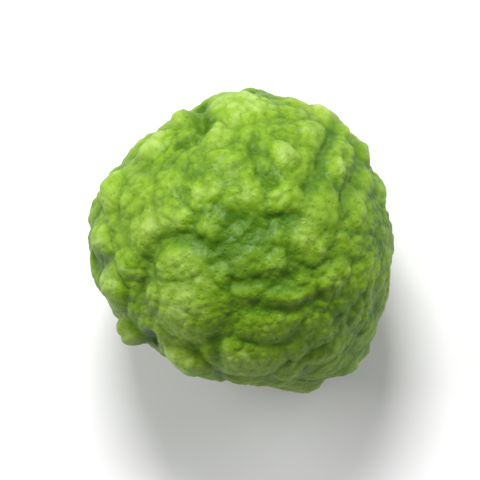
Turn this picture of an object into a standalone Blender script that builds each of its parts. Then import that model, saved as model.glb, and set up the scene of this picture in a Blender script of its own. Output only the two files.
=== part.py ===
"""A makrut lime as picked, one knobbly fruit lying on a small flat spot.

Metres, +Z up. Seen from above, the blossom end points up and to the left and the stem end down and to
the right, a little under the fruit's widest line. The skin is one closed surface around the fruit's
middle. Its distance from the middle is a formula of the direction: an egg with a few broad swells, the
neck, large knobs, small bumps on them, and furrows.
"""
import bmesh
import bpy
import numpy as np

MM = 0.001
TAU = 2 * np.pi

# The plain egg under the knobs: half of its width, depth and height, and the ball it is measured along
EGG = np.array((26.6, 25.9, 25.6)) * MM
BALL = 27.0 * MM

# The stem end of the fruit, as a direction from its middle
STEM_END = (0.56, -0.70, -0.45)

# Broad swells of the egg: direction, width and height in millimetres
SWELLS = (
    ((0.70, 0.66, 0.10), 34.0, 0.8),
    ((0.52, 0.85, 0.00), 20.0, 1.4),
    ((0.01, 0.99, 0.12), 17.0, 2.4),
    ((-0.66, 0.74, 0.10), 20.0, 0.2),
    ((-0.98, 0.15, 0.10), 26.0, 2.1),
    ((-0.58, -0.81, 0.05), 18.0, -1.9),
    ((-0.06, -0.98, -0.10), 17.0, -1.6),
)

# The neck at the stem end and the ribs that run down it. The ribs stray from even spacing by waves round
# the neck: their number, start and reach
NECK_WIDTH = 23.0 * MM
NECK_HEIGHT = 6.2 * MM
NECK_RIBS = 8
RIB_DEPTH = 0.8 * MM
RIB_REACH = 9.0 * MM
RIB_START = 5.0 * MM
RIB_SINK = 0.3
RIB_STRAY = ((2, 0.7, 1.1), (3, 0.0, 0.8))

# The dimple in the neck's tip, the star-shaped calyx, the stub of the stem that the picker left, and the
# room round them that has no knobs
DIMPLE_WIDTH = 12.5 * MM
DIMPLE_DEPTH = 1.9 * MM
CALYX_WIDTH = 6.6 * MM
CALYX_HEIGHT = 1.2 * MM
CALYX_LOBES = 5
CALYX_LOBE_REACH = 0.2
STUB_WIDTH = 3.2 * MM
STUB_HEIGHT = 1.6 * MM
STUB_HOLLOW_WIDTH = 1.5 * MM
STUB_HOLLOW_DEPTH = 0.5 * MM
BUTTON_ROOM = 8.6 * MM

# How steep the edges of level tops are
GENTLE_EDGE = 4
CLEAR_EDGE = 8
CRISP_EDGE = 16

# Where the fruit was seen from, how far the middle of its outline lies to +Y of its own middle in
# millimetres, and how deep inside the edge a knob that shows on the edge is set at least
SEEN_FROM = np.array((40.0, -40.0, 575.0)) * MM
OUTLINE_RISE = 0.8
EDGE_ROOM = 2.0 * MM

# Large knobs on the upper side as they show from there, in millimetres and degrees:
# x and y from the middle, width, length, turn of the length from +X, height
SEEN_KNOBS = {
    "round dome": (6.9, 17.2, 6.8, 7.2, 0, 1.9),
    "blossom knob": (-11.6, 23.2, 7.4, 8.4, 30, 2.5),
    "top lobe": (-0.9, 25.0, 12.0, 17.0, 0, 1.7),
    "top right lobe": (9.4, 24.6, 6.5, 8.0, -10, 0.7),
    "shoulder knob": (12.9, 20.4, 6.5, 9.0, 80, 0.8),
    "shoulder lobe": (15.4, 22.6, 8.0, 12.0, -38, 2.0),
    "shoulder side": (21.6, 17.6, 6.5, 9.5, -52, 1.7),
    "outer right fold": (25.4, 9.8, 6.5, 11.5, 105, 1.1),
    "inner right fold": (17.0, 14.2, 6.0, 13.0, 102, 1.0),
    "right cheek": (26.0, 2.8, 7.5, 12.0, 90, 0.2),
    "upper left knob": (-17.0, 18.6, 8.0, 11.5, 45, 1.6),
    "left shoulder": (-21.6, 13.4, 6.5, 8.5, 60, 0.5),
    "upper left rise": (-14.8, 12.2, 8.5, 9.0, 0, 0.6),
    "left rise": (-14.2, 5.2, 8.5, 9.0, 0, 0.6),
    "outer left knob": (-24.2, 9.4, 8.0, 9.5, 80, 2.2),
    "left cheek": (-26.2, 0.0, 8.0, 8.5, 90, 1.3),
    "high knob": (-4.0, 16.6, 7.0, 7.5, 0, 0.7),
    "high side": (-6.4, 21.0, 7.0, 8.0, 0, 1.0),
    "big lobe dome": (-12.6, -4.6, 12.0, 13.0, 0, 1.2),
    "big lobe": (-11.6, -12.4, 15.0, 19.0, 75, 1.6),
    "big lobe side": (-18.0, -10.4, 6.5, 8.0, 90, 0.8),
    "jutting lobe": (-21.7, -17.4, 8.0, 8.6, 122, 3.1),
    "lower left fold": (-24.6, -8.6, 8.0, 12.0, 100, 1.9),
    "left fold": (-22.6, -4.0, 6.5, 6.5, 0, 1.1),
    "lower lobe": (-10.6, -23.2, 10.0, 13.5, -24, 2.6),
    "bottom lobe": (-0.2, -22.6, 12.5, 19.0, -8, 1.6),
    "bottom ridge": (4.4, -16.2, 9.5, 16.0, 12, 0.8),
    "pale ridge": (8.0, -11.2, 6.0, 13.0, 6, 0.9),
    "right ridge": (17.0, -7.0, 6.0, 11.0, 35, 0.9),
    "olive knob": (5.6, -5.2, 6.8, 8.4, 10, 0.7),
    "right knob": (12.4, 0.4, 8.5, 11.0, -30, 0.6),
    "middle knob": (-7.0, 2.5, 7.5, 10.0, 20, 0.6),
    "crown knob": (0.0, 8.6, 8.0, 9.5, 20, 0.7),
    "crown side": (7.2, 8.8, 7.5, 9.5, 60, 0.7),
    "crown left": (-8.6, 9.8, 8.0, 9.5, 130, 0.6),
}

# Furrows on the upper side as they show from there, in millimetres: width, depth, and the x and y they run by
SEEN_FURROWS = {
    "round the big lobe": (1.9, 0.9, ((-19.9, -11.0), (-19.8, -7.4), (-18.2, -3), (-14.8, 1.2), (-10, 0.2),
                                      (-5.8, -1.4), (-1.6, 4.4))),
    "beside the dome": (1.2, 0.9, ((1.8, 20.6), (1.6, 17), (2.8, 13.6), (5.6, 11.9))),
    "before the right folds": (1.3, 0.8, ((16.0, 21.6), (15.2, 18.4), (14.0, 14.2), (11.6, 10.4))),
    "between the right folds": (1.2, 0.9, ((20.2, 18.6), (20.6, 15), (20.4, 11.2), (18.6, 8.6))),
    "beside the blossom knob": (1.4, 2.0, ((-9.0, 26.4), (-8.4, 21.6), (-11.2, 19.4), (-12.6, 19.4))),
    "across the middle": (2.2, 0.7, ((-5.0, -3), (-0.4, 0), (3.8, 3.6), (8.4, 4.4))),
    "round the olive knob": (1.4, 0.7, ((9.2, -3), (8.2, -6.6), (3.2, -7.6), (-2.4, -7.8))),
    "under the pale ridge": (1.3, 0.6, ((15.8, -9.4), (8, -13), (1.2, -12.2))),
    "beside the jutting lobe": (1.4, 1.7, ((-19.0, -20.3), (-18.0, -17.6))),
    "between the lower lobes": (1.4, 0.8, ((-4.8, -27.0), (-5.2, -22.5), (-5.6, -19.0))),
    "below the left cheek": (1.4, 1.2, ((-27.2, -3.4), (-25.2, -3.7))),
}

# Knobs that fill the room between those and cover the other sides, in millimetres: the widths that are
# tried in turn, how many places are tried for each and how far those stray from even spacing, the share of
# two knobs' widths that keeps them apart, their length over their width, their height over their width, and
# how much lower they are at the very top
KNOB_WIDTHS = (9.0, 8.0, 7.0, 6.0, 5.2)
KNOB_PLACES = 900
KNOB_STRAY = 1.5
KNOB_ROOM = 0.40
KNOB_STRETCH = (1.0, 1.35)
KNOB_HEIGHT_SHARE = (0.07, 0.12)
KNOB_TOP_CALM = 0.35
KNOB_BLEND = 0.10 * MM
KNOB_SEAM_DEPTH = 0.10 * MM
KNOB_SEAM_SLOPE = 0.30 * MM
KNOB_SEEDS = 21

# Small bumps on the knobs
BUMPS = 1300
BUMP_STRAY = 0.9
BUMP_WIDTHS = (2.9, 4.6)
BUMP_STRETCH = (1.0, 1.4)
BUMP_HEIGHTS = (0.24, 0.56)
BUMP_BLEND = 0.04 * MM
BUMP_SEAM_DEPTH = 0.06 * MM
BUMP_SEAM_SLOPE = 0.10 * MM
BUMP_SEEDS = 31

# Where the small bumps are lower, as it shows from there: x and y from the middle and width in millimetres,
# and the share of the bumps that is left
SMOOTHER = {
    "on the big lobe": (-11.0, -12.5, 17.0, 0.35),
    "on the bottom lobe": (2.0, -19.5, 20.0, 0.4),
    "on the round dome": (6.9, 17.2, 8.5, 0.25),
}

# The sideways wander that keeps knobs and bumps from being plain circles
WANDER_PITCH = 0.5
WANDER_REACH = 0.040
FINE_WANDER_PITCH = 0.16
FINE_WANDER_REACH = 0.007
WANDER_SEEDS = 11

# The reach over the skin, in radians, in which knobs near the stem end lie along the neck
COMBED_REACH = 0.75

# The flat spot that the fruit lies on, how far round it the knobs are low, and how much lower they are
FLAT_RISE = 0.9 * MM
FLAT_CALM = 15.0 * MM
FLAT_LOWER = 0.55

# Skin mesh: rounds of the ball's subdivision, the grain that its points are rounded to, and the share of
# its triangles that stays, which gathers them in the seams
BALL_ROUNDS = 7
POINT_GRAIN = 0.006 * MM
SHARE_KEPT = 0.14
CHUNK = 4096

SKIN_GREEN = (0.20, 0.36, 0.035, 1.0)
SKIN_ROUGHNESS = 0.38


def unit(vectors):
    """The vectors at length 1."""
    vectors = np.asarray(vectors, dtype=float)
    return vectors / np.linalg.norm(vectors, axis=-1, keepdims=True)


def from_above(x, y):
    """The direction of the skin that shows at a place, in millimetres, from where the fruit was seen."""
    place = np.stack((x, y + OUTLINE_RISE, np.zeros_like(x)), axis=-1) * MM
    sight = unit(place - SEEN_FROM)
    near = -(sight @ SEEN_FROM)
    room = BALL**2 - (SEEN_FROM @ SEEN_FROM - near**2)
    hit = near - np.sqrt(np.maximum(room, EDGE_ROOM**2))
    return unit(SEEN_FROM + sight * np.asarray(hit)[..., None])


def along_skin(points, direction):
    """How far along the skin the points are from a direction."""
    return np.arccos(np.clip(points @ direction, -1, 1)) * BALL


def wander(points, seed, pitch, reach, waves=9):
    """The points with a smooth sideways step, the sum of a few seeded sine waves."""
    draw = np.random.default_rng(seed)
    along = unit(draw.normal(size=(waves, 3)))
    push = unit(draw.normal(size=(waves, 3)))
    phase = draw.uniform(0, TAU, waves)
    return points + np.sin(points @ along.T * TAU / pitch + phase) @ push * reach / np.sqrt(waves)


def bend(points):
    """The points in the bent space in which knobs and bumps are round."""
    coarse = wander(points, WANDER_SEEDS, WANDER_PITCH, WANDER_REACH)
    return wander(coarse, WANDER_SEEDS + 1, FINE_WANDER_PITCH, FINE_WANDER_REACH)


def spread(count, seed, stray):
    """Evenly spread directions, each pushed a little off its place."""
    draw = np.random.default_rng(seed)
    step = np.arange(count) + 0.5
    height = 1 - 2 * step / count
    turn = step * np.pi * (3 - np.sqrt(5))
    ring = np.sqrt(1 - height**2)
    even = np.stack((ring * np.cos(turn), ring * np.sin(turn), height), axis=-1)
    return unit(even + draw.normal(size=even.shape) * stray / np.sqrt(count))


def sideways(directions, turns):
    """Unit vectors along the skin at the directions, turned from +X as seen from outside."""
    east = unit(np.array((1.0, 0.0, 0.0)) - directions * directions[:, :1])
    north = np.cross(directions, east)
    return east * np.cos(turns)[:, None] + north * np.sin(turns)[:, None]


def toward_stem(directions, turns):
    """The turns, swung to run up the neck on the skin near the stem end."""
    stem = unit(STEM_END)
    near = np.exp(-(np.arccos(np.clip(directions @ stem, -1, 1)) / COMBED_REACH)**2)
    east = sideways(directions, np.zeros(len(directions)))
    north = np.cross(directions, east)
    up_neck = np.arctan2(north @ stem, east @ stem)
    return turns * (1 - near) + up_neck * near


def mounds(points, tops, grain, widths, lengths, heights, blend, seam_slope):
    """Height of overlapping mounds over the points, where the highest shows, and how near a seam each is."""
    places = bend(points)
    centres = bend(tops)
    radii = widths / 2 / BALL
    slack = 1 - (widths / lengths)**2
    across = np.sum(centres * grain, axis=1)
    height = np.empty(len(points))
    seam = np.empty(len(points))
    for start in range(0, len(points), CHUNK):
        block = places[start:start + CHUNK]
        away = np.sum(block**2, axis=1)[:, None] + np.sum(centres**2, axis=1) - 2 * block @ centres.T
        away -= slack * (block @ grain.T - across)**2
        rise = heights * (1 - away / radii**2)
        rise = np.column_stack((rise, np.zeros(len(block))))
        second, peak = np.partition(rise, -2, axis=1)[:, -2:].T
        joined = peak + blend * np.log(np.exp((rise - peak[:, None]) / blend).sum(axis=1))
        height[start:start + CHUNK] = joined
        seam[start:start + CHUNK] = np.exp((second - peak) / seam_slope)
    return height, seam


def filled_in(tops, widths):
    """More knobs wherever one has room beside the others, the widest first: directions and widths of all."""
    tops, widths = list(tops), list(widths)
    for order, width in enumerate(KNOB_WIDTHS):
        for place in spread(KNOB_PLACES, KNOB_SEEDS + order, KNOB_STRAY):
            away = along_skin(np.array(tops), place) / MM
            if np.all(away > KNOB_ROOM * (np.array(widths) + width)):
                tops.append(place)
                widths.append(width)
    return np.array(tops), np.array(widths)


def knobs(points):
    """Height of the large knobs over the points."""
    seen = np.array(list(SEEN_KNOBS.values()), dtype=float)
    tops, widths = filled_in(from_above(seen[:, 0], seen[:, 1]), (seen[:, 2] + seen[:, 3]) / 2)
    widths[:len(seen)] = seen[:, 2]
    draw = np.random.default_rng(KNOB_SEEDS + 1)
    count = len(tops) - len(seen)
    rest = widths[len(seen):]
    lengths = np.concatenate((seen[:, 3], rest * draw.uniform(*KNOB_STRETCH, count))) * MM
    calmer = 1 - KNOB_TOP_CALM * np.maximum(tops[len(seen):, 2], 0)
    tall = rest * draw.uniform(*KNOB_HEIGHT_SHARE, count) * calmer
    heights = np.concatenate((seen[:, 5], tall)) * MM
    turns = toward_stem(tops[len(seen):], draw.uniform(0, np.pi, count))
    grain = sideways(tops, np.concatenate((np.radians(seen[:, 4]), turns)))
    height, seam = mounds(points, tops, grain, widths * MM, lengths, heights, KNOB_BLEND, KNOB_SEAM_SLOPE)
    return height - KNOB_SEAM_DEPTH * seam


def bumps(points):
    """Height of the small bumps over the points."""
    tops = spread(BUMPS, BUMP_SEEDS, BUMP_STRAY)
    draw = np.random.default_rng(BUMP_SEEDS + 1)
    widths = draw.uniform(*BUMP_WIDTHS, BUMPS) * MM
    lengths = widths * draw.uniform(*BUMP_STRETCH, BUMPS)
    heights = draw.uniform(*BUMP_HEIGHTS, BUMPS) * MM
    grain = sideways(tops, toward_stem(tops, draw.uniform(0, np.pi, BUMPS)))
    height, seam = mounds(points, tops, grain, widths, lengths, heights, BUMP_BLEND, BUMP_SEAM_SLOPE)
    return height - BUMP_SEAM_DEPTH * seam


def bump_share(points):
    """How much of the small bumps stays: less on the smoother patches."""
    share = np.ones(len(points))
    for x, y, width, left in SMOOTHER.values():
        away = along_skin(points, from_above(x, y))
        share *= 1 - (1 - left) * np.exp(-(away / (width / 2 * MM))**4)
    return share


def furrows(points):
    """Depth of the hand-placed furrows under the points."""
    depth = np.zeros(len(points))
    bent = bend(points)
    for width, deep, route in SEEN_FURROWS.values():
        stops = bend(from_above(*np.array(route, dtype=float).T))
        away = np.full(len(points), np.inf)
        for first, last in zip(stops, stops[1:]):
            run = last - first
            share = np.clip((bent - first) @ run / (run @ run), 0, 1)
            foot = first + share[:, None] * run
            away = np.minimum(away, np.linalg.norm(bent - foot, axis=1))
        depth = np.maximum(depth, deep * MM * np.exp(-(away * BALL / (width * MM))**2))
    return depth


def egg(points):
    """Distance from the middle to the plain egg with its broad swells."""
    radius = 1 / np.sqrt(np.sum((points / EGG)**2, axis=1))
    for direction, width, height in SWELLS:
        away = along_skin(points, unit(direction))
        radius += height * MM * np.exp(-(away / (width / 2 * MM))**2)
    return radius


def stem_polar(points):
    """Distance along the skin from the stem end, and the turn round it."""
    stem = unit(STEM_END)
    side = unit(np.cross(stem, (0.0, 0.0, 1.0)))
    other = np.cross(stem, side)
    return along_skin(points, stem), np.arctan2(points @ other, points @ side)


def plateau(away, width, edge):
    """A level top of the given width, 1 inside and 0 outside, with a soft edge."""
    return 1 / (1 + (2 * away / width)**edge)


def neck(points):
    """Height of the neck over the egg, with its ribs and its dimple."""
    away, turn = stem_polar(points)
    rise = NECK_HEIGHT * np.exp(-(2 * away / NECK_WIDTH)**2)
    stray = sum(reach * np.sin(waves * turn + start) for waves, start, reach in RIB_STRAY)
    ribs = np.cos(NECK_RIBS * turn + stray)
    hold = np.exp(-(away / RIB_REACH)**2) * (1 - plateau(away, 2 * RIB_START, GENTLE_EDGE))
    rise += RIB_DEPTH * (ribs - RIB_SINK) * hold
    return rise - DIMPLE_DEPTH * np.exp(-(2 * away / DIMPLE_WIDTH)**4)


def button(points):
    """Height of the calyx and of the stem's stub over the neck's dimple."""
    away, turn = stem_polar(points)
    lobed = away / (1 + CALYX_LOBE_REACH * np.cos(CALYX_LOBES * turn))
    rise = CALYX_HEIGHT * plateau(lobed, CALYX_WIDTH, CRISP_EDGE)
    rise += STUB_HEIGHT * plateau(away, STUB_WIDTH, CLEAR_EDGE)
    return rise - STUB_HOLLOW_DEPTH * plateau(away, STUB_HOLLOW_WIDTH, GENTLE_EDGE)


def calm(points):
    """How much of the knobs stays: less round the flat spot, and none on the stem's button."""
    away, _ = stem_polar(points)
    at_stem = plateau(away, BUTTON_ROOM, CLEAR_EDGE)
    under = along_skin(points, np.array((0.0, 0.0, -1.0)))
    at_flat = FLAT_LOWER * np.exp(-(under / (FLAT_CALM / 2))**4)
    return (1 - at_stem) * (1 - at_flat)


def skin(points):
    """The skin over the directions, before it is set down, in metres from the fruit's middle."""
    relief = knobs(points) + bump_share(points) * bumps(points) - furrows(points)
    radius = egg(points) + neck(points) + button(points) + calm(points) * relief
    return points * radius[:, None]


def set_down(places):
    """The skin moved over the origin and cut level where it lies on the flat spot."""
    low, high = places.min(axis=0), places.max(axis=0)
    level = low[2] + FLAT_RISE
    placed = places - np.array(((low[0] + high[0]) / 2, (low[1] + high[1]) / 2, level))
    placed[:, 2] = np.maximum(placed[:, 2], 0.0)
    return placed


def fine_ball():
    """A mesh of small even triangles on the unit ball."""
    build = bmesh.new()
    bmesh.ops.create_icosphere(build, subdivisions=BALL_ROUNDS, radius=1.0)
    mesh = bpy.data.meshes.new("fine_ball")
    build.to_mesh(mesh)
    build.free()
    return mesh


def corners(mesh):
    """The places of a mesh's points, one row each."""
    places = np.empty(len(mesh.vertices) * 3)
    mesh.vertices.foreach_get("co", places)
    return places.reshape(-1, 3)


def thinned(mesh):
    """A copy of the mesh with fewer triangles, made by a Decimate modifier."""
    fine = bpy.data.objects.new("fine", mesh)
    bpy.context.scene.collection.objects.link(fine)
    thin = fine.modifiers.new("thin", "DECIMATE")
    thin.ratio = SHARE_KEPT
    result = bpy.data.meshes.new_from_object(fine.evaluated_get(bpy.context.evaluated_depsgraph_get()))
    bpy.data.objects.remove(fine, do_unlink=True)
    bpy.data.meshes.remove(mesh)
    return result


def skin_material():
    """Waxy green lime skin."""
    material = bpy.data.materials.new("lime_skin")
    material.use_nodes = True
    shader = material.node_tree.nodes["Principled BSDF"]
    shader.inputs["Base Color"].default_value = SKIN_GREEN
    shader.inputs["Roughness"].default_value = SKIN_ROUGHNESS
    shader.inputs["Metallic"].default_value = 0.0
    return material


def make_lime():
    """The whole fruit, one closed skin, made fine, thinned to flat triangles and set down."""
    ball = fine_ball()
    grown = skin(unit(corners(ball)))
    ball.vertices.foreach_set("co", (np.round(grown / POINT_GRAIN) * POINT_GRAIN).ravel())
    mesh = thinned(ball)
    mesh.name = "lime"
    mesh.vertices.foreach_set("co", set_down(corners(mesh)).ravel())
    mesh.materials.append(skin_material())
    mesh.update()
    mesh.shade_smooth()
    lime = bpy.data.objects.new("lime", mesh)
    bpy.context.scene.collection.objects.link(lime)
    return lime


for old in list(bpy.data.objects):
    bpy.data.objects.remove(old, do_unlink=True)
make_lime()
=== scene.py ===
"""The looks of a makrut lime: its knobbly skin in full detail, its waxy peel, and a plain pale studio."""
import math

import bmesh
import bpy
import numpy as np
from mathutils import Matrix, Vector
from mathutils.kdtree import KDTree


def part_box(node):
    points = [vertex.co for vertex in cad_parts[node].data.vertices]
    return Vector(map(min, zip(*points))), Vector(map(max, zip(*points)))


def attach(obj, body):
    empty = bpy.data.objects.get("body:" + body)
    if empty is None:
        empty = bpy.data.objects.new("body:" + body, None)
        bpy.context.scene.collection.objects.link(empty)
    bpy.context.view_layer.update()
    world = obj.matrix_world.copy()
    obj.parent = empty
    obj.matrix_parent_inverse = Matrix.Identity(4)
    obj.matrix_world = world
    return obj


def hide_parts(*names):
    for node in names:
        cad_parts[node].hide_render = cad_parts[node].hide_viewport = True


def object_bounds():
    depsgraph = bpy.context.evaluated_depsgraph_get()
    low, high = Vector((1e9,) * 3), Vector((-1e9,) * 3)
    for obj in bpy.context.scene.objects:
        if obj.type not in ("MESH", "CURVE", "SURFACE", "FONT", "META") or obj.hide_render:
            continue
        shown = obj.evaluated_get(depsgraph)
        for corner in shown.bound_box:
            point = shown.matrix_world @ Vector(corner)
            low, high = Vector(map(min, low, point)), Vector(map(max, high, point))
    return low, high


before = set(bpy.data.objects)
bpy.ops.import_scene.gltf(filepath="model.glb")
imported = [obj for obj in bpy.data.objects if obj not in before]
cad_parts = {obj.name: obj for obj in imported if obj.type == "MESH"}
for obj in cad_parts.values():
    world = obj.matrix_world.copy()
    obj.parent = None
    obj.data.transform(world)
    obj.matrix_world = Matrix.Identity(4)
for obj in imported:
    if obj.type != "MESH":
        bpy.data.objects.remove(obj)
cad_box = [list(corner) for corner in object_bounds()]

MM = 0.001
TAU = 2 * np.pi

# The fruit's form down to the small bumps is the same as its solid's. The plain egg under the knobs: half
# of its width, depth and height, and the ball it is measured along
EGG = np.array((26.6, 25.9, 25.6)) * MM
BALL = 27.0 * MM

# The stem end of the fruit, as a direction from its middle
STEM_END = (0.56, -0.70, -0.45)

# Broad swells of the egg: direction, width and height in millimetres
SWELLS = (
    ((0.70, 0.66, 0.10), 34.0, 0.8),
    ((0.52, 0.85, 0.00), 20.0, 1.4),
    ((0.01, 0.99, 0.12), 17.0, 2.4),
    ((-0.66, 0.74, 0.10), 20.0, 0.2),
    ((-0.98, 0.15, 0.10), 26.0, 2.1),
    ((-0.58, -0.81, 0.05), 18.0, -1.9),
    ((-0.06, -0.98, -0.10), 17.0, -1.6),
)

# The neck at the stem end and the ribs that run down it. The ribs stray from even spacing by waves round
# the neck: their number, start and reach
NECK_WIDTH = 23.0 * MM
NECK_HEIGHT = 6.2 * MM
NECK_RIBS = 8
RIB_DEPTH = 0.8 * MM
RIB_REACH = 9.0 * MM
RIB_START = 5.0 * MM
RIB_SINK = 0.3
RIB_STRAY = ((2, 0.7, 1.1), (3, 0.0, 0.8))

# The dimple in the neck's tip, the star-shaped calyx, the stub of the stem that the picker left, and the
# room round them that has no knobs
DIMPLE_WIDTH = 12.5 * MM
DIMPLE_DEPTH = 1.9 * MM
CALYX_WIDTH = 6.6 * MM
CALYX_HEIGHT = 1.2 * MM
CALYX_LOBES = 5
CALYX_LOBE_REACH = 0.2
STUB_WIDTH = 3.2 * MM
STUB_HEIGHT = 1.6 * MM
STUB_HOLLOW_WIDTH = 1.5 * MM
STUB_HOLLOW_DEPTH = 0.5 * MM
BUTTON_ROOM = 8.58 * MM

# How steep the edges of level tops are
GENTLE_EDGE = 4
FIRM_EDGE = 6
CLEAR_EDGE = 8
CRISP_EDGE = 16

# Where the fruit was seen from, how far the middle of its outline lies to +Y of its own middle in
# millimetres, and how deep inside the edge a knob that shows on the edge is set at least
SEEN_FROM = np.array((40.0, -40.0, 575.0)) * MM
OUTLINE_RISE = 0.8
EDGE_ROOM = 2.0 * MM

# Large knobs on the upper side as they show from there, in millimetres and degrees:
# x and y from the middle, width, length, turn of the length from +X, height
SEEN_KNOBS = {
    "round dome": (6.9, 17.2, 6.8, 7.2, 0, 1.9),
    "blossom knob": (-11.6, 23.2, 7.4, 8.4, 30, 2.5),
    "top lobe": (-0.9, 25.0, 12.0, 17.0, 0, 1.7),
    "top right lobe": (9.4, 24.6, 6.5, 8.0, -10, 0.7),
    "shoulder knob": (12.9, 20.4, 6.5, 9.0, 80, 0.8),
    "shoulder lobe": (15.4, 22.6, 8.0, 12.0, -38, 2.0),
    "shoulder side": (21.6, 17.6, 6.5, 9.5, -52, 1.7),
    "outer right fold": (25.4, 9.8, 6.5, 11.5, 105, 1.1),
    "inner right fold": (17.0, 14.2, 6.0, 13.0, 102, 1.0),
    "right cheek": (26.0, 2.8, 7.5, 12.0, 90, 0.2),
    "upper left knob": (-17.0, 18.6, 8.0, 11.5, 45, 1.6),
    "left shoulder": (-21.6, 13.4, 6.5, 8.5, 60, 0.5),
    "upper left rise": (-14.8, 12.2, 8.5, 9.0, 0, 0.6),
    "left rise": (-14.2, 5.2, 8.5, 9.0, 0, 0.6),
    "outer left knob": (-24.2, 9.4, 8.0, 9.5, 80, 2.2),
    "left cheek": (-26.2, 0.0, 8.0, 8.5, 90, 1.3),
    "high knob": (-4.0, 16.6, 7.0, 7.5, 0, 0.7),
    "high side": (-6.4, 21.0, 7.0, 8.0, 0, 1.0),
    "big lobe dome": (-12.6, -4.6, 12.0, 13.0, 0, 1.2),
    "big lobe": (-11.6, -12.4, 15.0, 19.0, 75, 1.6),
    "big lobe side": (-18.0, -10.4, 6.5, 8.0, 90, 0.8),
    "jutting lobe": (-21.7, -17.4, 8.0, 8.6, 122, 3.1),
    "lower left fold": (-24.6, -8.6, 8.0, 12.0, 100, 1.9),
    "left fold": (-22.6, -4.0, 6.5, 6.5, 0, 1.1),
    "lower lobe": (-10.6, -23.2, 10.0, 13.5, -24, 2.6),
    "bottom lobe": (-0.2, -22.6, 12.5, 19.0, -8, 1.6),
    "bottom ridge": (4.4, -16.2, 9.5, 16.0, 12, 0.8),
    "pale ridge": (8.0, -11.2, 6.0, 13.0, 6, 0.9),
    "right ridge": (17.0, -7.0, 6.0, 11.0, 35, 0.9),
    "olive knob": (5.6, -5.2, 6.8, 8.4, 10, 0.7),
    "right knob": (12.4, 0.4, 8.5, 11.0, -30, 0.6),
    "middle knob": (-7.0, 2.5, 7.5, 10.0, 20, 0.6),
    "crown knob": (0.0, 8.6, 8.0, 9.5, 20, 0.7),
    "crown side": (7.2, 8.8, 7.5, 9.5, 60, 0.7),
    "crown left": (-8.6, 9.8, 8.0, 9.5, 130, 0.6),
}

# Furrows on the upper side as they show from there, in millimetres: width, depth, and the x and y they run by
SEEN_FURROWS = {
    "round the big lobe": (1.9, 0.9, ((-19.9, -11.0), (-19.8, -7.4), (-18.2, -3), (-14.8, 1.2), (-10, 0.2),
                                      (-5.8, -1.4), (-1.6, 4.4))),
    "beside the dome": (1.2, 0.9, ((1.8, 20.6), (1.6, 17), (2.8, 13.6), (5.6, 11.9))),
    "before the right folds": (1.3, 0.8, ((16.0, 21.6), (15.2, 18.4), (14.0, 14.2), (11.6, 10.4))),
    "between the right folds": (1.2, 0.9, ((20.2, 18.6), (20.6, 15), (20.4, 11.2), (18.6, 8.6))),
    "beside the blossom knob": (1.4, 2.0, ((-9.0, 26.4), (-8.4, 21.6), (-11.2, 19.4), (-12.6, 19.4))),
    "across the middle": (2.2, 0.7, ((-5.0, -3), (-0.4, 0), (3.8, 3.6), (8.4, 4.4))),
    "round the olive knob": (1.4, 0.7, ((9.2, -3), (8.2, -6.6), (3.2, -7.6), (-2.4, -7.8))),
    "under the pale ridge": (1.3, 0.6, ((15.8, -9.4), (8, -13), (1.2, -12.2))),
    "beside the jutting lobe": (1.4, 1.7, ((-19.0, -20.3), (-18.0, -17.6))),
    "between the lower lobes": (1.4, 0.8, ((-4.8, -27.0), (-5.2, -22.5), (-5.6, -19.0))),
    "below the left cheek": (1.4, 1.2, ((-27.2, -3.4), (-25.2, -3.7))),
}

# Knobs that fill the room between those and cover the other sides, in millimetres: the widths that are
# tried in turn, how many places are tried for each and how far those stray from even spacing, the share of
# two knobs' widths that keeps them apart, their length over their width, their height over their width, and
# how much lower they are at the very top
KNOB_WIDTHS = (9.0, 8.0, 7.0, 6.0, 5.2)
KNOB_PLACES = 900
KNOB_STRAY = 1.5
KNOB_ROOM = 0.40
KNOB_STRETCH = (1.0, 1.35)
KNOB_HEIGHT_SHARE = (0.07, 0.12)
KNOB_TOP_CALM = 0.35
KNOB_BLEND = 0.10 * MM
KNOB_SEAM_DEPTH = 0.10 * MM
KNOB_SEAM_SLOPE = 0.30 * MM
KNOB_SEEDS = 21

# Small bumps on the knobs
BUMPS = 1300
BUMP_STRAY = 0.9
BUMP_WIDTHS = (2.9, 4.6)
BUMP_STRETCH = (1.0, 1.4)
BUMP_HEIGHTS = (0.24, 0.56)
BUMP_BLEND = 0.04 * MM
BUMP_SEAM_DEPTH = 0.06 * MM
BUMP_SEAM_SLOPE = 0.10 * MM
BUMP_SEEDS = 31

# Where the small bumps are lower, as it shows from there: x and y from the middle and width in millimetres,
# and the share of the bumps that is left
SMOOTHER = {
    "on the big lobe": (-11.0, -12.5, 17.0, 0.35),
    "on the bottom lobe": (2.0, -19.5, 20.0, 0.4),
    "on the round dome": (6.9, 17.2, 8.5, 0.25),
}

# The sideways wander that keeps knobs and bumps from being plain circles
WANDER_PITCH = 0.5
WANDER_REACH = 0.040
FINE_WANDER_PITCH = 0.16
FINE_WANDER_REACH = 0.007
WANDER_SEEDS = 11

# The reach over the skin, in radians, in which knobs near the stem end lie along the neck
COMBED_REACH = 0.75

# The flat spot that the fruit lies on, how far round it the knobs are low, how much lower they are, and its
# soft rim
FLAT_RISE = 0.9 * MM
FLAT_CALM = 15.0 * MM
FLAT_LOWER = 0.55
FLAT_RIM = 0.12 * MM

# Fine pebbles on the bumps, which only the fine skin has. They are higher in some patches: the share of
# their height that is left everywhere, the share that the patches add, and the patches' pitch and reach
PEBBLES = 4000
PEBBLE_STRAY = 1.1
PEBBLE_WIDTH = 1.9 * MM
PEBBLE_HEIGHTS = (0.07 * MM, 0.20 * MM)
PEBBLE_SEAM = 0.22 * MM
PEBBLE_SEAM_SHARE = 0.5
PEBBLE_LEAST = 0.45
PEBBLE_PATCH_SHARE = 0.9
PEBBLE_PATCH_PITCH = 0.6
PEBBLE_PATCH_REACH = 1.0
PEBBLE_SEEDS = 41

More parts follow.
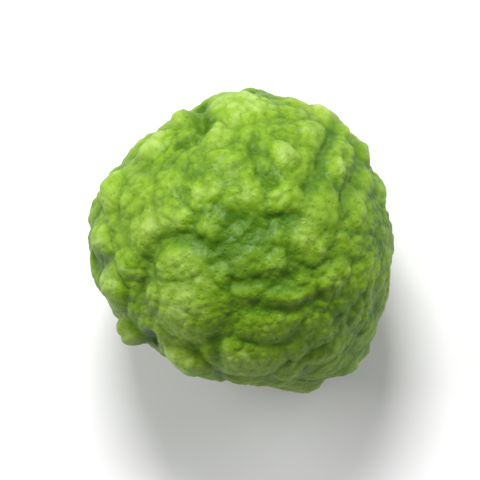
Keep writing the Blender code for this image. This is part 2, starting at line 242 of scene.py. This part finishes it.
# What the finish reads as full height, where the knobs' tops come out lighter, partly their own paler green
# and partly painted light, and how much painted shade it lays in the seams of knobs and of bumps
HEIGHT_SPAN = 1.8 * MM
KNOB_SEAM_SHADE = 0.7
BUMP_SEAM_SHADE = 0.4

# The fine skin's mesh: rounds of the ball's subdivision, and the cuts of each edge after that
BALL_ROUNDS = 6
EDGE_CUTS = 2
CHUNK = 4096


def unit(vectors):
    """The vectors at length 1."""
    vectors = np.asarray(vectors, dtype=float)
    return vectors / np.linalg.norm(vectors, axis=-1, keepdims=True)


def from_above(x, y):
    """The direction of the skin that shows at a place, in millimetres, from where the fruit was seen."""
    place = np.stack((x, y + OUTLINE_RISE, np.zeros_like(x)), axis=-1) * MM
    sight = unit(place - SEEN_FROM)
    near = -(sight @ SEEN_FROM)
    room = BALL**2 - (SEEN_FROM @ SEEN_FROM - near**2)
    hit = near - np.sqrt(np.maximum(room, EDGE_ROOM**2))
    return unit(SEEN_FROM + sight * np.asarray(hit)[..., None])


def along_skin(points, direction):
    """How far along the skin the points are from a direction."""
    return np.arccos(np.clip(points @ direction, -1, 1)) * BALL


def wander(points, seed, pitch, reach, waves=9):
    """The points with a smooth sideways step, the sum of a few seeded sine waves."""
    draw = np.random.default_rng(seed)
    along = unit(draw.normal(size=(waves, 3)))
    push = unit(draw.normal(size=(waves, 3)))
    phase = draw.uniform(0, TAU, waves)
    return points + np.sin(points @ along.T * TAU / pitch + phase) @ push * reach / np.sqrt(waves)


def bend(points):
    """The points in the bent space in which knobs and bumps are round."""
    coarse = wander(points, WANDER_SEEDS, WANDER_PITCH, WANDER_REACH)
    return wander(coarse, WANDER_SEEDS + 1, FINE_WANDER_PITCH, FINE_WANDER_REACH)


def spread(count, seed, stray):
    """Evenly spread directions, each pushed a little off its place."""
    draw = np.random.default_rng(seed)
    step = np.arange(count) + 0.5
    height = 1 - 2 * step / count
    turn = step * np.pi * (3 - np.sqrt(5))
    ring = np.sqrt(1 - height**2)
    even = np.stack((ring * np.cos(turn), ring * np.sin(turn), height), axis=-1)
    return unit(even + draw.normal(size=even.shape) * stray / np.sqrt(count))


def sideways(directions, turns):
    """Unit vectors along the skin at the directions, turned from +X as seen from outside."""
    east = unit(np.array((1.0, 0.0, 0.0)) - directions * directions[:, :1])
    north = np.cross(directions, east)
    return east * np.cos(turns)[:, None] + north * np.sin(turns)[:, None]


def mounds(points, tops, grain, widths, lengths, heights, blend, seam_slope):
    """Height of overlapping mounds over the points, where the highest shows, and how near a seam each is."""
    places = bend(points)
    centres = bend(tops)
    radii = widths / 2 / BALL
    slack = 1 - (widths / lengths)**2
    across = np.sum(centres * grain, axis=1)
    height = np.empty(len(points))
    seam = np.empty(len(points))
    for start in range(0, len(points), CHUNK):
        block = places[start:start + CHUNK]
        away = np.sum(block**2, axis=1)[:, None] + np.sum(centres**2, axis=1) - 2 * block @ centres.T
        away -= slack * (block @ grain.T - across)**2
        rise = heights * (1 - away / radii**2)
        rise = np.column_stack((rise, np.zeros(len(block))))
        second, peak = np.partition(rise, -2, axis=1)[:, -2:].T
        joined = peak + blend * np.log(np.exp((rise - peak[:, None]) / blend).sum(axis=1))
        height[start:start + CHUNK] = joined
        seam[start:start + CHUNK] = np.exp((second - peak) / seam_slope)
    return height, seam


def toward_stem(directions, turns):
    """The turns, swung to run up the neck on the skin near the stem end."""
    stem = unit(STEM_END)
    near = np.exp(-(np.arccos(np.clip(directions @ stem, -1, 1)) / COMBED_REACH)**2)
    east = sideways(directions, np.zeros(len(directions)))
    north = np.cross(directions, east)
    up_neck = np.arctan2(north @ stem, east @ stem)
    return turns * (1 - near) + up_neck * near


def filled_in(tops, widths):
    """More knobs wherever one has room beside the others, the widest first: directions and widths of all."""
    tops, widths = list(tops), list(widths)
    for order, width in enumerate(KNOB_WIDTHS):
        for place in spread(KNOB_PLACES, KNOB_SEEDS + order, KNOB_STRAY):
            away = along_skin(np.array(tops), place) / MM
            if np.all(away > KNOB_ROOM * (np.array(widths) + width)):
                tops.append(place)
                widths.append(width)
    return np.array(tops), np.array(widths)


def knobs(points):
    """Height of the large knobs over the points, and how near a seam between knobs each point is."""
    seen = np.array(list(SEEN_KNOBS.values()), dtype=float)
    tops, widths = filled_in(from_above(seen[:, 0], seen[:, 1]), (seen[:, 2] + seen[:, 3]) / 2)
    widths[:len(seen)] = seen[:, 2]
    draw = np.random.default_rng(KNOB_SEEDS + 1)
    count = len(tops) - len(seen)
    rest = widths[len(seen):]
    lengths = np.concatenate((seen[:, 3], rest * draw.uniform(*KNOB_STRETCH, count))) * MM
    calmer = 1 - KNOB_TOP_CALM * np.maximum(tops[len(seen):, 2], 0)
    tall = rest * draw.uniform(*KNOB_HEIGHT_SHARE, count) * calmer
    heights = np.concatenate((seen[:, 5], tall)) * MM
    turns = toward_stem(tops[len(seen):], draw.uniform(0, np.pi, count))
    grain = sideways(tops, np.concatenate((np.radians(seen[:, 4]), turns)))
    height, seam = mounds(points, tops, grain, widths * MM, lengths, heights, KNOB_BLEND, KNOB_SEAM_SLOPE)
    return height - KNOB_SEAM_DEPTH * seam, seam


def bumps(points):
    """Height of the small bumps over the points, and how near a seam between bumps each point is."""
    tops = spread(BUMPS, BUMP_SEEDS, BUMP_STRAY)
    draw = np.random.default_rng(BUMP_SEEDS + 1)
    widths = draw.uniform(*BUMP_WIDTHS, BUMPS) * MM
    lengths = widths * draw.uniform(*BUMP_STRETCH, BUMPS)
    heights = draw.uniform(*BUMP_HEIGHTS, BUMPS) * MM
    grain = sideways(tops, toward_stem(tops, draw.uniform(0, np.pi, BUMPS)))
    height, seam = mounds(points, tops, grain, widths, lengths, heights, BUMP_BLEND, BUMP_SEAM_SLOPE)
    return height - BUMP_SEAM_DEPTH * seam, seam


def bump_share(points):
    """How much of the small bumps stays: less on the smoother patches."""
    share = np.ones(len(points))
    for x, y, width, left in SMOOTHER.values():
        away = along_skin(points, from_above(x, y))
        share *= 1 - (1 - left) * np.exp(-(away / (width / 2 * MM))**4)
    return share


def pebbles(points):
    """Height of the fine pebbles over the points, stronger in some patches than in others."""
    tops = bend(spread(PEBBLES, PEBBLE_SEEDS, PEBBLE_STRAY))
    tree = KDTree(PEBBLES)
    for index, top in enumerate(tops):
        tree.insert(top, index)
    tree.balance()
    found = [tree.find_n(place, 2) for place in bend(points)]
    near = np.array([hit[0][2] for hit in found]) * BALL
    next_near = np.array([hit[1][2] for hit in found]) * BALL
    size = np.random.default_rng(PEBBLE_SEEDS + 1).uniform(*PEBBLE_HEIGHTS, PEBBLES)
    height = size[[hit[0][1] for hit in found]]
    strayed = wander(points, PEBBLE_SEEDS + 2, PEBBLE_PATCH_PITCH, PEBBLE_PATCH_REACH)
    patch = 0.5 + 0.5 * np.tanh(strayed[:, 0] - points[:, 0])
    crown = np.clip(1 - (2 * near / PEBBLE_WIDTH)**2, 0, 1)
    seam = np.exp(-(next_near - near) / PEBBLE_SEAM)
    return height * (PEBBLE_LEAST + PEBBLE_PATCH_SHARE * patch) * (crown - PEBBLE_SEAM_SHARE * seam)


def furrows(points):
    """Depth of the listed furrows under the points."""
    depth = np.zeros(len(points))
    bent = bend(points)
    for width, deep, route in SEEN_FURROWS.values():
        stops = bend(from_above(*np.array(route, dtype=float).T))
        away = np.full(len(points), np.inf)
        for first, last in zip(stops, stops[1:]):
            run = last - first
            share = np.clip((bent - first) @ run / (run @ run), 0, 1)
            foot = first + share[:, None] * run
            away = np.minimum(away, np.linalg.norm(bent - foot, axis=1))
        depth = np.maximum(depth, deep * MM * np.exp(-(away * BALL / (width * MM))**2))
    return depth


def egg(points):
    """Distance from the middle to the plain egg with its broad swells."""
    radius = 1 / np.sqrt(np.sum((points / EGG)**2, axis=1))
    for direction, width, height in SWELLS:
        away = along_skin(points, unit(direction))
        radius += height * MM * np.exp(-(away / (width / 2 * MM))**2)
    return radius


def stem_polar(points):
    """Distance along the skin from the stem end, and the turn round it."""
    stem = unit(STEM_END)
    side = unit(np.cross(stem, (0.0, 0.0, 1.0)))
    other = np.cross(stem, side)
    return along_skin(points, stem), np.arctan2(points @ other, points @ side)


def plateau(away, width, edge):
    """A level top of the given width, 1 inside and 0 outside, with a soft edge."""
    return 1 / (1 + (2 * away / width)**edge)


def neck(points):
    """Height of the neck over the egg, with its ribs and its dimple."""
    away, turn = stem_polar(points)
    rise = NECK_HEIGHT * np.exp(-(2 * away / NECK_WIDTH)**2)
    stray = sum(reach * np.sin(waves * turn + start) for waves, start, reach in RIB_STRAY)
    ribs = np.cos(NECK_RIBS * turn + stray)
    hold = np.exp(-(away / RIB_REACH)**2) * (1 - plateau(away, 2 * RIB_START, GENTLE_EDGE))
    rise += RIB_DEPTH * (ribs - RIB_SINK) * hold
    return rise - DIMPLE_DEPTH * np.exp(-(2 * away / DIMPLE_WIDTH)**4)


def calyx_mask(points):
    """1 on the star-shaped calyx, 0 off it."""
    away, turn = stem_polar(points)
    lobed = away / (1 + CALYX_LOBE_REACH * np.cos(CALYX_LOBES * turn))
    return plateau(lobed, CALYX_WIDTH, CRISP_EDGE)


def stub_mask(points):
    """1 on the stem's stub, 0 off it."""
    away, _ = stem_polar(points)
    return plateau(away, STUB_WIDTH, CLEAR_EDGE)


def button(points):
    """Height of the calyx and of the stem's stub over the neck's dimple."""
    away, _ = stem_polar(points)
    rise = CALYX_HEIGHT * calyx_mask(points) + STUB_HEIGHT * stub_mask(points)
    return rise - STUB_HOLLOW_DEPTH * plateau(away, STUB_HOLLOW_WIDTH, GENTLE_EDGE)


def calm(points):
    """How much of the knobs stays: less round the flat spot, and none on the stem's button."""
    away, _ = stem_polar(points)
    at_stem = plateau(away, BUTTON_ROOM, FIRM_EDGE)
    under = along_skin(points, np.array((0.0, 0.0, -1.0)))
    at_flat = FLAT_LOWER * np.exp(-(under / (FLAT_CALM / 2))**4)
    return (1 - at_stem) * (1 - at_flat)


def set_down(places):
    """The skin laid in the solid's box, with a soft-rimmed flat spot on the level that it lies on."""
    low, high = places.min(axis=0), places.max(axis=0)
    box_low, box_high = (np.array(corner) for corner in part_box("lime"))
    middle = (box_low + box_high) / 2
    shift = middle - (low + high) / 2
    shift[2] = box_low[2] - low[2] - FLAT_RISE
    placed = places + shift
    rise = placed[:, 2] - box_low[2]
    placed[:, 2] = box_low[2] + np.maximum(rise, 0) + FLAT_RIM * np.exp(-np.abs(rise) / FLAT_RIM) * (rise > 0)
    return placed


def fine_ball():
    """A mesh of small even triangles on the unit ball."""
    build = bmesh.new()
    bmesh.ops.create_icosphere(build, subdivisions=BALL_ROUNDS, radius=1.0)
    bmesh.ops.subdivide_edges(build, edges=build.edges[:], cuts=EDGE_CUTS, use_grid_fill=True)
    bmesh.ops.triangulate(build, faces=build.faces[:])
    mesh = bpy.data.meshes.new("lime_skin")
    build.to_mesh(mesh)
    build.free()
    return mesh


def note_values(mesh, name, values):
    """Keeps one number for each point of the mesh, for the finish to read."""
    attribute = mesh.attributes.new(name, "FLOAT", "POINT")
    attribute.data.foreach_set("value", values.astype(np.float32))


def make_skin(finish):
    """The whole fruit's skin, one closed mesh, with the numbers that its finish reads."""
    mesh = fine_ball()
    corners = np.empty(len(mesh.vertices) * 3)
    mesh.vertices.foreach_get("co", corners)
    points = unit(corners.reshape(-1, 3))
    knob_height, knob_seam = knobs(points)
    bump_height, bump_seam = bumps(points)
    furrow_depth = furrows(points)
    stays = calm(points)
    relief = knob_height + bump_share(points) * bump_height - furrow_depth + pebbles(points)
    radius = egg(points) + neck(points) + button(points) + stays * relief
    mesh.vertices.foreach_set("co", set_down(points * radius[:, None]).ravel())
    # Painted shade: this darkens the peel in the seams between knobs and bumps and along the furrows
    seam = KNOB_SEAM_SHADE * knob_seam + BUMP_SEAM_SHADE * bump_seam + furrow_depth / MM
    # The knobs' height, by which the finish paints their tops lighter, partly their own paler green and
    # partly painted light
    note_values(mesh, "height", np.clip(stays * relief / HEIGHT_SPAN, 0, 1))
    note_values(mesh, "seam", np.clip(stays * seam, 0, 1))
    note_values(mesh, "calyx", calyx_mask(points))
    note_values(mesh, "stub", stub_mask(points))
    mesh.materials.append(finish)
    mesh.update()
    mesh.shade_smooth()
    skin = bpy.data.objects.new("lime_skin", mesh)
    bpy.context.scene.collection.objects.link(skin)
    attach(skin, "root")
    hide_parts("lime")


class Value:
    """A socket in a finish's nodes; sums and products of values add their Math nodes."""

    def __init__(self, finish, socket):
        self.finish = finish
        self.socket = socket

    def math(self, operation, *inputs):
        return self.finish.add("ShaderNodeMath", {"operation": operation}, dict(enumerate(inputs)))

    def __add__(self, other):
        return self.math("ADD", self, other)

    __radd__ = __add__

    def __sub__(self, other):
        return self.math("SUBTRACT", self, other)

    def __rsub__(self, other):
        return self.math("SUBTRACT", other, self)

    def __mul__(self, other):
        return self.math("MULTIPLY", self, other)

    __rmul__ = __mul__


class Finish:
    """One material and its nodes."""

    def __init__(self, name):
        self.material = bpy.data.materials.new(name)
        self.material.use_nodes = True
        self.tree = self.material.node_tree
        self.tree.nodes.clear()

    def add(self, kind, settings=None, inputs=None, out=0):
        """Adds a node, sets it up, then fills its sockets with values or links, and gives one output."""
        node = self.tree.nodes.new(kind)
        for name, setting in (settings or {}).items():
            setattr(node, name, setting)
        for name, value in (inputs or {}).items():
            if isinstance(value, Value):
                self.tree.links.new(value.socket, node.inputs[name])
            else:
                node.inputs[name].default_value = value
        return Value(self, node.outputs[out]) if node.outputs else None

    def point(self):
        """The place of the shaded point on the object, in metres."""
        return self.add("ShaderNodeTexCoord", out="Object")

    def noted(self, name):
        """A number kept on the mesh's points."""
        return self.add("ShaderNodeAttribute", {"attribute_name": name}, out="Fac")

    def noise(self, size, detail, roughness):
        """Soft noise whose patches are about size metres wide."""
        inputs = {"Vector": self.point(), "Scale": 1 / size, "Detail": detail, "Roughness": roughness}
        return self.add("ShaderNodeTexNoise", None, inputs)

    def cells(self, size, loose):
        """Distance from the nearest of scattered spots about size metres apart, in spots."""
        inputs = {"Vector": self.point(), "Scale": 1 / size, "Randomness": loose}
        return self.add("ShaderNodeTexVoronoi", None, inputs, out="Distance")

    def away(self, place):
        """How far the shaded point is from a place on the object, in metres."""
        settings = {"operation": "DISTANCE"}
        return self.add("ShaderNodeVectorMath", settings, {0: self.point(), 1: place}, out="Value")

    def step(self, value, low, high):
        """0 below low and 1 above high, smooth between them."""
        inputs = {"Value": value, "From Min": low, "From Max": high}
        return self.add("ShaderNodeMapRange", {"interpolation_type": "SMOOTHSTEP"}, inputs)

    def blend(self, share, first, second):
        """The first colour going over to the second by share."""
        return self.add("ShaderNodeMix", {"data_type": "RGBA"}, {0: share, 6: first, 7: second}, out=2)

    def shade(self, sockets, constants):
        """Ends the nodes in a Principled shader: sockets may vary over the surface, constants don't."""
        shader = self.add("ShaderNodeBsdfPrincipled", None, {**sockets, **constants})
        self.add("ShaderNodeOutputMaterial", None, {"Surface": shader})
        return self.material


def screen(red, green, blue):
    """A colour as a screen shows it, 0 to 255, turned to light."""
    parts = [part / 255 for part in (red, green, blue)]
    light = [part / 12.92 if part <= 0.04045 else ((part + 0.055) / 1.055)**2.4 for part in parts]
    return (*light, 1.0)


# The peel's greens, and the browns of its calyx, stub and scars
DEEP_GREEN = screen(42, 84, 0)
PEEL_GREEN = screen(112, 146, 20)
LIGHT_GREEN = screen(152, 176, 92)
YELLOW_GREEN = screen(168, 182, 90)
GLAND_GREEN = screen(64, 110, 8)
CALYX_OLIVE = screen(100, 112, 42)
CALYX_BROWN = screen(68, 60, 24)
STUB_TAN = screen(152, 140, 86)
CORK_TAN = screen(196, 164, 104)

# The oil glands: how far apart and how loosely set, the reach of the dot and of the dimple over each in
# spacings, and how deep the dimple is
GLAND_SPACING = 0.85 * MM
GLAND_LOOSE = 0.9
GLAND_DOT = (0.10, 0.38)
GLAND_PIT = (0.06, 0.42)
GLAND_DEPTH = 0.08 * MM

# The soft noises in the peel: how wide their patches are, how many finer layers they have and how rough
BROAD = (22 * MM, 2.0, 0.5)
MOTTLE = (5 * MM, 4.0, 0.6)
FLECK = (1.9 * MM, 2.0, 0.5)
GRAIN = (0.7 * MM, 3.0, 0.6)
FRECKLE = (0.9 * MM, 1.0, 0.5)
FRECKLED_AREA = (9 * MM, 2.0, 0.5)
CORK = (4.5 * MM, 5.0, 0.65)
DRYNESS = (1.6 * MM, 2.0, 0.5)

# Between which values of their noise each of these sets in
YELLOW_FROM = (0.56, 0.78)
FRECKLE_FROM = (0.74, 0.80)
FRECKLED_AREA_FROM = (0.50, 0.62)
CORK_FROM = (0.735, 0.765)
DRY_FROM = (0.42, 0.62)

# The deeper green patch on top: its middle, from how near it starts to how far it fades, and how far its
# edge strays
DEEP_PATCH = (2.0 * MM, -3.5 * MM, 48.0 * MM)
PATCH_REACH = (5.0 * MM, 14.5 * MM)
PATCH_STRAY = 8 * MM

# How much height lightens the peel, partly the knobs' own paler tops and partly painted light on them, how
# much each noise lightens it, less a level amount, and between which tones the peel's green and the light
# green set in
HEIGHT_TONE_AND_LIGHT = 0.36
LIGHTER_BY_MOTTLE = 0.75
LIGHTER_BY_FLECK = 0.55
LIGHTER_BY_BROAD = 0.25
DARKER_LEVEL = 0.45
PEEL_TONES = (0.0, 0.55)
LIGHT_TONES = (0.45, 1.0)

# How much of its colour each layer lays over the peel
YELLOW_SHARE = 0.35
PATCH_SHARE = 0.34
# Painted shade: how much deep green is laid in the seams and furrows
SEAM_SHADE_SHARE = 0.54
GLAND_SHARE = 0.30
FRECKLE_SHARE = 0.5
CORK_SHARE = 0.85
CALYX_RIM_SHARE = 0.8
CALYX_DRY_SHARE = 0.6
STUB_RIM_SHARE = 0.7

# How rough the peel is, and how much rougher where it is mottled, grained, corky or calyx
PEEL_ROUGHNESS = 0.38
MOTTLE_ROUGHER = 0.12
GRAIN_ROUGHER = 0.08
CORK_ROUGHER = 0.25
CALYX_ROUGHER = 0.3

# The finest relief, drawn by light alone: how high the grain and the cork stand, and how strong all of it is
GRAIN_HEIGHT = 0.11 * MM
CORK_HEIGHT = 0.1 * MM
RELIEF_STRENGTH = 0.9

# The waxy peel's gloss, and the light that goes a little way into it
PEEL_CONSTANTS = {
    "Specular IOR Level": 0.18,
    "Subsurface Weight": 0.10,
    "Subsurface Radius": (0.6 * MM, 1.1 * MM, 0.25 * MM),
    "Subsurface Scale": 1.0,
    "Coat Weight": 0.03,
    "Coat Roughness": 0.25,
}


def rim(mask):
    """1 on the edge of a mask, 0 inside and outside."""
    return mask * (1 - mask) * 4


def peel_finish():
    """Waxy lime peel: greens that follow the knobs, paler on their tops partly as painted light, painted
    shade in their seams and furrows, oil glands, freckles and cork, and the brown button.
    """
    peel = Finish("lime_peel")
    height, seam, calyx, stub = (peel.noted(name) for name in ("height", "seam", "calyx", "stub"))
    broad, mottle, fleck, grain = (peel.noise(*noise) for noise in (BROAD, MOTTLE, FLECK, GRAIN))
    gland = peel.cells(GLAND_SPACING, GLAND_LOOSE)
    freckled = peel.step(peel.noise(*FRECKLED_AREA), *FRECKLED_AREA_FROM)
    freckle = peel.step(peel.noise(*FRECKLE), *FRECKLE_FROM) * freckled
    cork = peel.step(peel.noise(*CORK), *CORK_FROM)
    dry = peel.step(peel.noise(*DRYNESS), *DRY_FROM)
    patch = 1 - peel.step(peel.away(DEEP_PATCH) + PATCH_STRAY * (mottle - 0.5), *PATCH_REACH)

    # The knobs' tops are painted lighter, partly their own paler green and partly painted light
    tone = height * HEIGHT_TONE_AND_LIGHT + mottle * LIGHTER_BY_MOTTLE + fleck * LIGHTER_BY_FLECK
    tone = tone + broad * LIGHTER_BY_BROAD - DARKER_LEVEL
    colour = DEEP_GREEN
    for share, paint in (
        (peel.step(tone, *PEEL_TONES), PEEL_GREEN),
        (peel.step(tone, *LIGHT_TONES), LIGHT_GREEN),
        (peel.step(broad, *YELLOW_FROM) * YELLOW_SHARE, YELLOW_GREEN),
        (patch * PATCH_SHARE, DEEP_GREEN),
        # painted shade in the seams and furrows
        (seam * SEAM_SHADE_SHARE, DEEP_GREEN),
        ((1 - peel.step(gland, *GLAND_DOT)) * GLAND_SHARE, GLAND_GREEN),
        (freckle * FRECKLE_SHARE, CORK_TAN),
        (cork * CORK_SHARE, CORK_TAN),
        (calyx, CALYX_OLIVE),
        (rim(calyx) * CALYX_RIM_SHARE + calyx * dry * CALYX_DRY_SHARE, CALYX_BROWN),
        (stub, STUB_TAN),
        (rim(stub) * STUB_RIM_SHARE, CALYX_BROWN),
    ):
        colour = peel.blend(share, colour, paint)

    rough = PEEL_ROUGHNESS + MOTTLE_ROUGHER * mottle + GRAIN_ROUGHER * grain
    rough = rough + CORK_ROUGHER * cork + CALYX_ROUGHER * calyx
    pit = (1 - peel.step(gland, *GLAND_PIT)) * (1 - calyx)
    relief = GRAIN_HEIGHT * grain - GLAND_DEPTH * pit + CORK_HEIGHT * cork
    bump = {"Strength": RELIEF_STRENGTH, "Distance": 1.0, "Height": relief}
    normal = peel.add("ShaderNodeBump", None, bump)
    return peel.shade({"Base Color": colour, "Roughness": rough, "Normal": normal}, PEEL_CONSTANTS)


# The floor's card: its two whites, its tooth, how much of the second white and of roughness the tooth adds,
# and half of its side
CARD_WHITE = screen(226, 226, 226)
CARD_SHADE = screen(220, 220, 220)
TOOTH = (3 * MM, 4.0, 0.6)
TOOTH_SHARE = 0.2
CARD_ROUGHNESS = 0.85
TOOTH_ROUGHER = 0.1
CARD_GLOSS = 0.2
FLOOR_HALF = 1.6


def floor_finish():
    """Plain matt white card with a faint tooth."""
    card = Finish("white_card")
    tooth = card.noise(*TOOTH)
    colour = card.blend(tooth * TOOTH_SHARE, CARD_WHITE, CARD_SHADE)
    rough = CARD_ROUGHNESS + TOOTH_ROUGHER * tooth
    return card.shade({"Base Color": colour, "Roughness": rough}, {"Specular IOR Level": CARD_GLOSS})


def make_floor():
    """A wide pale floor at the level that the fruit lies on."""
    mesh = bpy.data.meshes.new("floor")
    level = cad_box[0][2]
    turns = ((-1, -1), (1, -1), (1, 1), (-1, 1))
    corners = [(x * FLOOR_HALF, y * FLOOR_HALF, level) for x, y in turns]
    mesh.from_pydata(corners, [], [(0, 1, 2, 3)])
    mesh.materials.append(floor_finish())
    floor = bpy.data.objects.new("floor", mesh)
    bpy.context.scene.collection.objects.link(floor)


def aim(thing, place, target, up):
    """Puts a lamp or a camera at a place, looking at the target, with up toward the top of its view."""
    look = (Vector(target) - Vector(place)).normalized()
    right = look.cross(Vector(up)).normalized()
    over = right.cross(look)
    turn = Matrix((right, over, -look)).transposed().to_4x4()
    thing.matrix_world = Matrix.Translation(place) @ turn


def soft_light(name, place, width, depth, power, target):
    """One soft rectangular studio light."""
    lamp = bpy.data.lights.new(name, "AREA")
    lamp.shape = "RECTANGLE"
    lamp.size = width
    lamp.size_y = depth
    lamp.energy = power
    light = bpy.data.objects.new(name, lamp)
    bpy.context.scene.collection.objects.link(light)
    aim(light, place, target, (0, 0, 1))


# The soft studio lights: where each one is, its width and depth in metres, and its power in watts
STUDIO_LIGHTS = {
    "key_light": ((-0.04, 0.41, 0.48), 0.22, 0.16, 5.0),
    "side_light": ((-0.46, 0.12, 0.40), 0.35, 0.35, 2.1),
    "right_light": ((0.46, 0.26, 0.34), 0.35, 0.35, 1.3),
    "fill_light": ((0.30, -0.45, 0.40), 0.50, 0.40, 0.3),
}
ROOM_WHITE = (1.0, 1.0, 1.0, 1.0)
ROOM_STRENGTH = 0.27


def light_studio(middle):
    """A soft light at the top of the view, weaker ones left and right, a faint fill and a pale room."""
    for name, (place, width, depth, power) in STUDIO_LIGHTS.items():
        soft_light(name, place, width, depth, power, middle)
    world = bpy.data.worlds.new("pale_room")
    world.use_nodes = True
    background = world.node_tree.nodes["Background"]
    background.inputs["Color"].default_value = ROOM_WHITE
    background.inputs["Strength"].default_value = ROOM_STRENGTH
    bpy.context.scene.world = world


# The camera is over the fruit, a little to the lower right of its middle, and the fruit's width is this
# share of the view's
CAMERA_OFFSET = Vector((0.040, -0.040, 0.60))
FRUIT_SHARE = 0.64


def place_camera(middle):
    """The camera, looking down on the fruit, which spans a set share of its view."""
    camera = bpy.data.cameras.new("camera")
    holder = bpy.data.objects.new("camera", camera)
    bpy.context.scene.collection.objects.link(holder)
    aim(holder, middle + CAMERA_OFFSET, middle, (0, 1, 0))
    span = (cad_box[1][0] - cad_box[0][0]) / FRUIT_SHARE
    camera.angle = 2 * math.atan(span / 2 / CAMERA_OFFSET.length)
    bpy.context.scene.camera = holder


fruit_middle = (Vector(cad_box[0]) + Vector(cad_box[1])) / 2
make_skin(peel_finish())
make_floor()
light_studio(fruit_middle)
place_camera(fruit_middle)
bpy.context.scene.view_settings.view_transform = "Standard"
